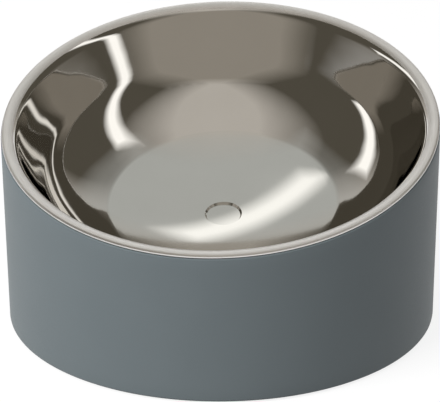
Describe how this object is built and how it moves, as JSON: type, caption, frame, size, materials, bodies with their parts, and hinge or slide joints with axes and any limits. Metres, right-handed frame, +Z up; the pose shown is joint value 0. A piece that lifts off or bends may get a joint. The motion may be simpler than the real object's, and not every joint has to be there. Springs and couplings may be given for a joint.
{
  "type": "cat bowl",
  "caption": "Slant-top double-walled cat bowl: a polished steel bowl set at an angle in a round coated steel shell, closed by a base plate and standing on a soft anti-slip ring.",
  "frame": {"origin": "on the table, under the centre of the round shell", "axes": "+Z up from the table; the low side of the rim faces -Y and the high side +Y; +X is across the bowl"},
  "size_m": [0.15, 0.15, 0.091],
  "materials": {
    "polished_steel": "mirror-polished wall, satin floor and lip",
    "coated_steel": "matte blue-grey powder coat",
    "plain_steel": "brushed",
    "tape": "double-sided foam tape",
    "silicone": "matte"
  },
  "bodies": {
    "root": {"inner_bowl": "polished_steel", "outer_shell": "coated_steel", "base_plate": "plain_steel", "bond_ring": "tape", "foot_ring": "silicone"}
  },
  "joints": []
}
